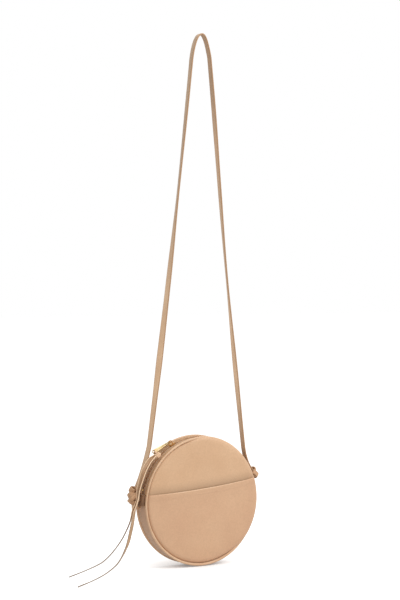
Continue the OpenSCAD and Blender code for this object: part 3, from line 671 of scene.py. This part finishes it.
def makePiping(side, word):
    for kind, share, count, material, node, slot in (
            ("sleeve", 1.0, 16, pipingHide, word + "_piping", "piping_leather"),
            ("filler", 0.55, 10, fillerCotton, word + "_piping_cord", "filler_cord")):
        name = word + "_piping_" + kind
        turns = [2 * pi * k / count for k in range(count)]
        rings = []
        for i in range(300):
            ring, depth, own = pipingAt(i * 1.2, side)
            ripple = 1 + 0.03 * noise.noise(Vector((i * 0.55, side * 5.0, 0)))
            ripple += 0.015 * noise.noise(Vector((i * 1.7, 3, side)))
            r = own * share * ripple
            rings.append([drumPoint(i * 1.2, ring + r * cos(t), side * (depth + r * sin(t)))
                          for t in turns])
        newObject(name, turnOutward(loftMesh(name, rings, closeRun=True)), material, "bag", slot, [node])


makePiping(-1, "front")
makePiping(1, "back")


def bandRadius(angle, y, low, high):
    # the band between the pipings is turned down into both seams and domes a little between them
    share = min(max((y - low) / (high - low), 0), 1)
    mid = body["gussetRadius"] + body["gussetDome"] * sin(pi * share) ** 0.8
    mid += 0.2 * noise.noise(Vector((angle * 0.09, y * 0.08, 4)))
    return mid - max(0.0, 1 - min(y - low, high - y) / 1.9) ** 1.7 * 2.3


def seamDepth(angle, side):
    _, depth, own = pipingAt(angle, side)
    return depth - own * 0.55


rings = []
for i in range(181):
    a = 180 - zipEnd - 0.2 + (180 + 2 * zipEnd + 0.4) * i / 180
    low, high = -seamDepth(a, -1), seamDepth(a, 1)
    places = [low + (high - low) * k / 26 for k in range(27)]
    rings.append([drumPoint(a, bandRadius(a, y, low, high), y) for y in places])
gussetMesh = loftMesh("bottom_gusset_leather", rings, closeRing=False)
gusset = newObject("bottom_gusset_leather", gussetMesh, gussetShadedHide, "bag", "face_leather", ["bottom_gusset"])
addThickness(gusset, body["gussetThickness"])
print("piping and gusset made")

# Zip: two woven tapes, two rows of teeth that part between the slider and the left lug
zipper = {
    "sliderAngle": 112.0, "teethStart": 20.0, "pitch": 1.0, "toothLength": 0.72,
    "tapeRadius": 98.6, "tapeThickness": 0.6, "part": 0.4, "sliderHalf": 4.7,
    "toothMiddle": 99.1, "toothRise": 0.85, "toothOverlap": 0.95,
    # sections of a tooth: distance from its tip, width and height as shares
    "toothShape": [(0, 0.62, 0.6), (0.35, 1.0, 1.0), (2.4, 1.0, 1.0), (3.3, 0.8, 0.55)],
}


def parting(angle):  # half of the gap by which the two rows stand apart, in mm
    if angle < zipper["sliderAngle"] + 2:
        return 0.0
    return zipper["part"] * sin(pi * smooth(zipper["sliderAngle"] + 2, 160, angle) * 0.92) ** 0.8


def makeTape(name, side, node):
    across = 22
    rings = []
    for i in range(241):
        a = zipEnd - 0.3 + (180 - 2 * zipEnd + 0.6) * i / 240
        inner, outer = 1.9 + parting(a), seamDepth(a, side)
        inner = 0.12 + (inner - 0.12) * smooth(17.5, 20.5, a) * smooth(162.5, 159.5, a)
        ring = []
        for k in range(across + 1):
            y = inner + (outer - inner) * k / across
            dome = smooth(zipper["sliderHalf"], outer - 3.4, y) * smooth(outer, outer - 3.2, y) ** 0.7
            r = zipper["tapeRadius"] + 1.1 * dome + 0.5 * parting(a) * (1 - k / across)
            r -= 2.0 * max(0.0, 1 - (outer - y) / 1.9) ** 1.7
            r += 0.2 * noise.noise(Vector((a * 0.12, y * 0.2, side * 3))) * smooth(4.4, 6.0, y)
            ring.append(drumPoint(a, r, side * y))
        rings.append(ring)
    mesh = loftMesh(name, rings, closeRing=False)
    if side > 0:
        mesh.flip_normals()
    addThickness(newObject(name, mesh, zipTape, "bag", "zip_tape", [node]), zipper["tapeThickness"], 1)


def makeTeeth(name, side, node):
    # each tooth is a small loop of the coil, half a pitch off its neighbour across the gap
    span = 180 - 2 * zipper["teethStart"]
    count = int(radians(span) * 99 / (2 * zipper["pitch"]))
    turns = [radians(45 * k + 22.5) for k in range(8)]
    teeth = []
    for i in range(count):
        a = zipper["teethStart"] + span * (i + (0.25 if side > 0 else 0.75)) / count
        gap = parting(a)
        tip = -zipper["toothOverlap"] + (gap if gap >= 0.05 else 0)
        middle = zipper["toothMiddle"] + 0.35 * gap
        teeth.append([[drumPoint(a, middle + zipper["toothRise"] * tall * sin(t), side * (tip + y),
                                 zipper["toothLength"] * wide * cos(t)) for t in turns]
                      for y, wide, tall in zipper["toothShape"]])
    newObject(name, tubesMesh(name, teeth), zipNylon, "bag", "zip_teeth", [node])


for side, word in ((-1, "front"), (1, "back")):
    makeTape("zip_tape_" + word + "_woven", side, "zip_tape_" + word)
    makeTeeth("zip_coil_" + word, side, "zip_teeth_" + word)

# Bar tacks across the tapes beside the left end of the zip
tackPlaces = []
for side in (-1, 1):
    for angle in (157.4, 159.6):
        for k in range(4):
            y = side * (4.6 + 0.9 * k)
            out = (drumPoint(angle, 110, y) - drumPoint(angle, 90, y)).normalized()
            tackPlaces.append((drumPoint(angle, zipper["tapeRadius"] + 0.45, y), sideWay, out))
tackMesh = stitchMesh("zip_bar_tacks", tackPlaces, 1.2 * mm, 0.3 * mm)
newObject("zip_bar_tacks", tackMesh, waxedThread, "bag", "zip_tape")
print("zip made")

# Metal pieces keep their CAD shape; a copy gets rounded edges


def roundedCopy(node, bodyName, width, material=deepGold):
    mesh = frame["nodes"][node].data.copy()
    mesh.materials.clear()
    piece = newObject(node + "_plated", mesh, material, bodyName, "zip_metal", [node])
    addBevel(piece, width * mm, 3, 30)
    return piece


roundedCopy("zip_slider_body", "slider", 0.18)
roundedCopy("zip_slider_bridge", "slider", 0.2)
for node in ("zip_stop_left", "zip_stop_right"):
    roundedCopy(node, "bag", 0.15)

# Lace through the puller's hole, and its hitch
pivot = Vector(joints["puller_flip"]["pos_m"])
hole = Vector(joints["lace_swing"]["pos_m"])
pullerWay = Vector((hole.x - pivot.x, 0, hole.z - pivot.z)).normalized()
outWay = Vector((pullerWay.z, 0, -pullerWay.x))
if outWay.z < 0:
    outWay = -outWay


# The puller hangs askew on its bridge by the play it has there, its front edge lower, and is a little
# thicker; degrees at its bridge and more of them at its end, then shares
pullerHang = {"roll": 10, "endRoll": 28, "thicker": 1.25, "wider": 0.2}
puller = roundedCopy("zip_puller", "puller", 0.28, paleGold)
for vertex in puller.data.vertices:
    spot = vertex.co - pivot
    along, out, y = spot.dot(pullerWay) / mm, spot.dot(outWay) / mm, spot.y / mm
    roll = radians(pullerHang["roll"] + pullerHang["endRoll"] * smooth(4, 20, along))
    out *= pullerHang["thicker"]
    y *= 1 + pullerHang["wider"] * smooth(7, 22, along)
    out, y = out * cos(roll) + y * sin(roll), y * cos(roll) - out * sin(roll)
    vertex.co = pivot + (pullerWay * along + outWay * out + sideWay * y) * mm


def pullerPoint(out, y, along):  # mm from the hole's middle
    return hole + (outWay * out + sideWay * y + pullerWay * along) * mm


loop = {"width": 2.9, "thickness": 1.4, "outRadius": 2.1, "sideRadius": 2.5, "out": -1.0, "side": -2.75}
turns = [2 * pi * k / 40 for k in range(40)]
loopPath = [pullerPoint(loop["out"] + loop["outRadius"] * sin(t),
                        loop["side"] + loop["sideRadius"] * cos(t), 0) for t in turns]
tiedLooks = [laceHide, laceEdgeLitAndShaded], "laces", "lace_leather"
addStrip("lace_loop_strip", tiedLooks, ["lace_loop"], loopPath, lambda s, p, t: pullerWay,
         lambda s: loop["width"], loop["thickness"], closed=True, flats=2)

hitch = {
    "drop": -3.8, "side": -10.6, "ahead": 1.4, "turn": 8.0, "radius": 3.5, "length": 8.4, "turns": 2.3,
    "stripWidth": 3.3, "stripThickness": 1.7,
    "coreHalf": 4.6, "coreWidth": 5.2, "coreTaper": 1.2, "coreThickness": 3.0,
}
hitchTurn = radians(hitch["turn"])
hitchAxis = (pullerWay * cos(hitchTurn) - outWay * sin(hitchTurn)).normalized()
hitchOut = sideWay.cross(hitchAxis).normalized()
hitchMiddle = pullerPoint(hitch["drop"], hitch["side"], hitch["ahead"])
hitchPath = []
for k in range(90):
    s = k / 89
    a = 2 * pi * hitch["turns"] * s + 0.6
    r = hitch["radius"] * (0.72 + 0.28 * sin(pi * s) ** 0.6)
    along = (s - 0.5) * (hitch["length"] - 2.6)
    turned = hitchOut * cos(a) * r + sideWay * sin(a) * r
    hitchPath.append(hitchMiddle + (turned + hitchAxis * along) * mm)
addStrip("lace_hitch_wrap", tiedLooks, ["lace_hitch"], hitchPath, lambda s, p, t: hitchAxis,
         lambda s: hitch["stripWidth"], hitch["stripThickness"], flats=2, puff=0.2)
core = [hitchMiddle + hitchAxis * (s * hitch["coreHalf"]) * mm for s in (-1, -0.8, -0.4, 0, 0.4, 0.8, 1)]
addStrip("lace_hitch_core", tiedLooks, [], evenPoints(core, 20), lambda s, p, t: sideWay,
         lambda s: hitch["coreWidth"] - hitch["coreTaper"] * abs(2 * s - 1) ** 3,
         hitch["coreThickness"], flats=2)
print("puller's lace made")

# Lugs: leather arches over the gusset, their feet sunk into its seams
lugs = {
    "left_lug": {"angle": 180 - body["lugAngle"], "rise": 4.4},
    "right_lug": {"angle": body["lugAngle"], "rise": 3.3},
    "thickness": 1.7, "foot": 98.4, "sunk": 0.8, "outerHalf": 11.6, "innerHalf": 9.8, "pinch": 0.25,
}


def makeLug(node, angle, rise):
    count, steps, rings = 16, 22, []
    arch = []  # share of the half width and of the rise
    for k in range(steps + 1):
        c, n = cos(pi * k / steps), sin(pi * k / steps)
        arch.append((copysign(abs(c) ** (2 / 3), c), n ** (2 / 3)))
    for i in range(count + 1):
        s = i / count
        a = angle - lugSpan + 2 * lugSpan * s
        pinch = lugs["pinch"] * (abs(2 * s - 1) ** 6)  # cut edges are a little thinner
        ring = []
        for half, top, shares in ((lugs["outerHalf"], rise + lugs["thickness"] - pinch, arch),
                                  (lugs["innerHalf"], rise + pinch, arch[::-1])):
            ring += [drumPoint(a, lugs["foot"] + (top + lugs["sunk"]) * up, y * half) for y, up in shares]
        rings.append(ring)
    mesh = turnOutward(loftMesh(node + "_leather", rings, edgeFaces={-1}))  # the caps are the cut edges
    # the lugs' cut edges take the lace's pale edge: a painted highlight
    piece = newObject(node + "_leather", mesh, [lugShadedHide, laceEdgeLitAndShaded], "bag", "face_leather", [node])
    addBevel(piece, 0.45 * mm, 3, 50)


for node in ("left_lug", "right_lug"):
    makeLug(node, lugs[node]["angle"], lugs[node]["rise"])

# Strap: one long narrow strip, from knot to knot over the top
strap = {
    "width": 11.0, "thickness": 2.2,
    "left": [
        (0, 0), (0.08, 0), (0.128, 0.031), (0.15, 0.058),
        (0.327, 0.333), (0.584, 0.665), (0.792, 0.905),
        (0.836, 0.932), (0.905, 0.97), (1, 1),
    ],
    "right": [
        (0, 0), (0.072, 0), (0.118, 0.025), (0.16, 0.051),
        (0.278, 0.204), (0.357, 0.359), (0.47, 0.512),
        (0.577, 0.654), (0.711, 0.814), (0.821, 0.94),
        (0.845, 0.966), (0.9, 0.985), (1, 1),
    ],
    # turn of the strap's width about the upright, in degrees, by height over the bag's middle
    "leftTurn": [(20, 10), (90, 10), (150, 14), (220, 30), (330, 12), (485, -16), (640, -4), (727, 0)],
    "rightTurn": [(20, 0), (110, 0), (190, 6), (343, -21), (500, -6), (600, 3), (727, 0)],
    "leftEnd": (-107.8, 29.8), "rightEnd": (103.6, 31.0),  # where it goes into the knots
    "loopWidth": 9, "turnThickness": 2.4, "crossWidth": 7.4, "crossTaper": 1.2, "crossThickness": 2.2,
    "tailWidth": 9.0, "tailTaper": 3.0,  # the cut ends narrow towards their tips
    # painted light and shade on the strap, by height over the bag's middle: painted paler between grip and
    # knots, painted shade towards the top and near the right knot
    "leftPaintedShading": [(20, 0), (65, 0.05), (101, 0.16), (124, 0.3), (249, 0.32), (311, 0.26), (373, 0.16),
                 (435, 0.05), (530, -0.12), (622, -0.08), (700, -0.17)],
    "rightPaintedShading": [(50, -0.35), (66, -0.35), (81, -0.16), (124, 0), (155, 0.14), (186, 0.3), (249, 0.32),
                  (311, 0.28), (373, 0.15), (435, 0.03), (497, 0.12), (560, 0.2), (600, 0), (640, -0.13)],
    "bendFrom": 44, "bendTo": 30.5,  # where the strap turns with a swinging bag, over the bag's middle
}


def bezierRun(points, steps):
    run = []
    for k in range(0, len(points) - 1, 3):
        a, b, c, d = points[k:k + 4]
        for i in range(steps):
            s = i / steps
            run.append(a * (1 - s) ** 3 + b * 3 * s * (1 - s) ** 2 + c * 3 * s * s * (1 - s) + d * s ** 3)
    run.append(points[-1])
    return run


def strapLeg(shares, end):
    top = Vector((0, 0, strap["thickness"] / 2 * mm))
    way = bagPoint(end[0], end[1], 0) - top
    return bezierRun([top + Vector((sx * way.x, 0, sz * way.z)) for sx, sz in shares], 40)


leftLeg = strapLeg(strap["left"], strap["leftEnd"])
rightLeg = strapLeg(strap["right"], strap["rightEnd"])
strapPath = evenPoints(leftLeg[::-1] + rightLeg[1:], 420)
crownAt = min(range(len(strapPath)), key=lambda i: -strapPath[i].z)


def strapAcross(s, point, tangent):
    height = (point.z - bagCentre.z) / mm
    i = s * (len(strapPath) - 1)
    a = radians(tableValue(strap["leftTurn"] if i < crownAt else strap["rightTurn"], height))
    return Vector((-sin(a), cos(a), 0))


def strapWidth(s):
    return strap["width"] * (1 + 0.015 * noise.noise(Vector((s * 60, 0, 2))))


strapLooks = [strapHide, strapEdge], None, "strap_leather"
strapPiece = addStrip("shoulder_strap_leather", strapLooks, [], strapPath, strapAcross, strapWidth,
                      strap["thickness"], flats=4)


# painted light and shade along the strap, by height
def strapPaintedShading(point):
    return tableValue(strap["leftPaintedShading"] if point.x < 0 else strap["rightPaintedShading"], (point.z - bagCentre.z) / mm)


setPaintedShading(strapPiece, strapPaintedShading)
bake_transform(strapPiece)
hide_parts("shoulder_strap")
print("strap made, length", round(runLength(strapPath), 3), "m")

# Turns of the strap round the lugs
knotLooks = [knotShadedHide, strapEdge], "bag", "strap_leather"


def makeTurn(name, node, angle, downwards, leg, outside, knotOut, knotAlong, yMiddle):
    end = body["lugHalf"] + 0.3
    bend = (outside - leg) / 2
    over = bezierRun([Vector((knotOut, knotAlong, 0)), Vector((leg + bend, knotAlong - bend / 2, 0)),
                      Vector((leg, -end - 2 * bend, 0)), Vector((leg, -end, 0))], 10)
    turns = [pi * i / 12 for i in range(13)]
    under = [Vector((leg + bend - bend * cos(t), end + bend * sin(t), 0)) for t in turns]
    flat = over + under + [Vector((outside, 0, 0))]
    path = evenPoints([drumPoint(angle, p.x, yMiddle, p.y * downwards) for p in flat], 60)
    addStrip(name, knotLooks, [node], path, lambda s, p, t: sideWay, lambda s: strap["loopWidth"],
             strap["thickness"])


makeTurn("left_strap_turn", "left_strap_loop", 180 - body["lugAngle"], 1, 101.5, 108.0, 110.0, -11.05, 0)
makeTurn("right_strap_turn", "right_strap_loop", body["lugAngle"], -1, 100.4, 105.7, 105.7, -13.6, 2)

# Knots: turns of the strap drawn tight round each other
knots = {
    "left": {
        "middle": (-112.9, 0.0, 23.6), "node": "left_knot",
        # height over the knot's middle, radius, tilt about x and about y in degrees, width of the strip
        "turns": [(8.8, 4.4, 30, 14, 8.4), (0.6, 6.2, -34, -12, 9.4), (-7.8, 4.8, 32, 12, 8.2)],
        "cross": [(5.2, -1.5, 12), (5.5, -6.6, 6), (0.5, -8.6, 1.0), (-5.6, -6.4, -4.5), (-6.8, -1.0, -9)],
        "lean": 6,
    },
    "right": {
        "middle": (107.4, 4.0, 26.0), "node": "right_knot",
        "turns": [(4.2, 4.9, 18, -10, 8.0), (-3.6, 5.0, -22, 10, 8.0)],
        "cross": [(-4.8, -1.0, 7.5), (-3.6, -5.6, 4.4), (1.2, -6.9, 0.2), (5.0, -4.4, -4.2),
                  (5.2, 0.6, -7.2)],
        "lean": -5,
    },
}
for side, knot in knots.items():
    cx, cy, cz = knot["middle"]
    middle = bagPoint(cx, cz, cy)
    basis = Matrix.Rotation(-lean + radians(knot["lean"]), 3, "Y")
    for number, (height, radius, tiltX, tiltY, width) in enumerate(knot["turns"]):
        tilt = basis @ Matrix.Rotation(radians(tiltX), 3, "X")
        tilt = tilt @ Matrix.Rotation(radians(tiltY), 3, "Y")
        rise = basis @ Vector((0, 0, height))
        path = []
        for k in range(48):
            a = 2 * pi * k / 48
            r = radius * (1 + 0.05 * sin(2 * a + number) + 0.03 * sin(3 * a))
            path.append(middle + (rise + tilt @ Vector((r * cos(a), r * sin(a), 0))) * mm)
        axis = tilt @ Vector((0, 0, 1))
        name = side + "_knot_turn_" + str(number + 1)
        addStrip(name, knotLooks, [] if number else [knot["node"]], path, lambda s, p, t, axis=axis: axis,
                 lambda s, w=width: w * (1 + 0.06 * sin(12 * s)), strap["turnThickness"], closed=True,
                 puff=0.2, flats=5)
    crossPath = curvePoints([middle + (basis @ Vector((x, y, z))) * mm for x, y, z in knot["cross"]], 40)
    addStrip(side + "_knot_crossing", knotLooks, [], crossPath,
             lambda s, p, t, m=middle: t.cross((p - m).normalized()),
             lambda s: strap["crossWidth"] - strap["crossTaper"] * abs(2 * s - 1) ** 2,
             strap["crossThickness"], puff=0.15, flats=5)

# Cut ends of the strap under the knots
tails = {
    "left": {"from": (-112.9, 0, 10.425), "side": -1, "length": 50, "turn": 34, "node": "left_strap_tail",
             "shares": [(0, 0), (0.02, 0.3), (0.1, 0.62), (0.2, 0.94)]},
    "right": {"from": (106.8, 6, 21), "side": 1, "length": 27, "turn": 10, "node": "right_strap_tail",
              "shares": [(0, 0), (0.05, 0.3), (0.08, 0.7), (0.07, 1)]},
}
for side, tail in tails.items():
    x0, y0, z0 = tail["from"]
    points = [Vector((tail["side"] * x, -z, 0)) * tail["length"] for x, z in tail["shares"]]
    path = evenPoints([bagPoint(x0 + p.x, z0 + p.y, y0) for p in bezierRun(points, 20)], 50)
    addStrip(side + "_strap_end", ([strapHide, strapEdge], "bag", "strap_leather"), [tail["node"]], path,
             lambda s, p, t, a=radians(tail["turn"]): Matrix.Rotation(a * smooth(0, 0.7, s), 3, t) @ sideWay,
             lambda s: strap["tailWidth"] - strap["tailTaper"] * s, strap["thickness"], flats=4)
print("knots and strap ends made")

# Pieces inside the bag keep their CAD shape and get their own finish
inside = {
    "inner_pocket": gussetShadedHide, "front_stiffener": fibreboard, "back_stiffener": fibreboard,
    "lining_front": liningCotton, "lining_back": liningCotton, "lining_gusset": liningCotton,
}
for node, material in inside.items():
    mesh = frame["nodes"][node].data
    mesh.materials.clear()
    mesh.materials.append(material)
print("inside pieces finished")

# Studio: a white floor that keeps the shadow, white behind it, and soft lamps
studio = {
    "worldLight": 0.54, "floorGrey": 0.8, "floorReach": 14.0, "floorGap": 0.0004,
    # the floor's own glow keeps it white, and fades near the point below the bag, where the shadow lies
    "nearGlow": 0.2, "floorGlow": 0.62, "glowFrom": 0.02, "glowTo": 0.085,
    # place from the bag's middle in metres, size, power in watts
    "lamps": {
        "keySoftbox": ((1.4, -2.2, 2.3), 1.6, 53.0),
        "topSoftbox": ((0.1, -0.2, 2.4), 1.4, 14.0),
        "leftFill": ((-2.4, -1.6, 0.9), 1.8, 4.5),
    },
}
scene = bpy.context.scene
scene.view_settings.view_transform = "Standard"
world = bpy.data.worlds.new("studio")
scene.world = world
tree = emptyTree(world)
rays = addNode(tree, "LightPath").outputs
seen = addNode(tree, "Math", {0: rays["Is Camera Ray"], 1: rays["Is Glossy Ray"]}, operation="MAXIMUM")
seen = addNode(tree, "Math", {0: seen, 1: rays["Is Transmission Ray"]}, operation="MAXIMUM")
strength = addNode(tree, "MapRange", {"Value": seen, "To Min": studio["worldLight"], "To Max": 1.0})
backdrop = addNode(tree, "Background", {"Color": (1, 1, 1, 1), "Strength": strength})
addNode(tree, "OutputWorld", {"Surface": backdrop})

floorMaterial = bpy.data.materials.new("white_paper_sweep")  # matt paper: no highlight, a faint shadow
tree = emptyTree(floorMaterial)
paper = addNode(tree, "BsdfDiffuse", {"Color": (studio["floorGrey"],) * 3 + (1,)})
rays = addNode(tree, "LightPath").outputs
place = addNode(tree, "NewGeometry").outputs["Position"]
away = addNode(tree, "VectorMath", {0: place, 1: (bagCentre.x, bagCentre.y, cadLow.z)}, operation="DISTANCE")
lit = addNode(tree, "MapRange", {"Value": away.outputs["Value"], "From Min": studio["glowFrom"],
                                 "From Max": studio["glowTo"], "To Min": studio["nearGlow"],
                                 "To Max": studio["floorGlow"]})
glow = addNode(tree, "Math", {0: rays["Is Camera Ray"], 1: lit}, operation="MULTIPLY")
light = addNode(tree, "Emission", {"Color": (1, 1, 1, 1), "Strength": glow})
both = addNode(tree, "AddShader", {0: paper, 1: light})
addNode(tree, "OutputMaterial", {"Surface": both})
floorMesh = bpy.data.meshes.new("floor")
reach, floorHeight = studio["floorReach"], cadLow.z - studio["floorGap"]
corners = [(-reach, -reach), (reach, -reach), (reach, reach), (-reach, reach)]
floorMesh.from_pydata([(x, y, floorHeight) for x, y in corners], [], [(0, 1, 2, 3)])
floorMesh.materials.append(floorMaterial)
floor = bpy.data.objects.new("floor", floorMesh)
scene.collection.objects.link(floor)

for name, (place, size, power) in studio["lamps"].items():
    data = bpy.data.lights.new(name, "AREA")
    data.shape = "DISK"
    data.size = size
    data.energy = power
    lamp = bpy.data.objects.new(name, data)
    lamp.location = bagCentre + Vector(place)
    lamp.rotation_euler = (-Vector(place)).to_track_quat("-Z", "Y").to_euler()
    scene.collection.objects.link(lamp)
print("studio lit")
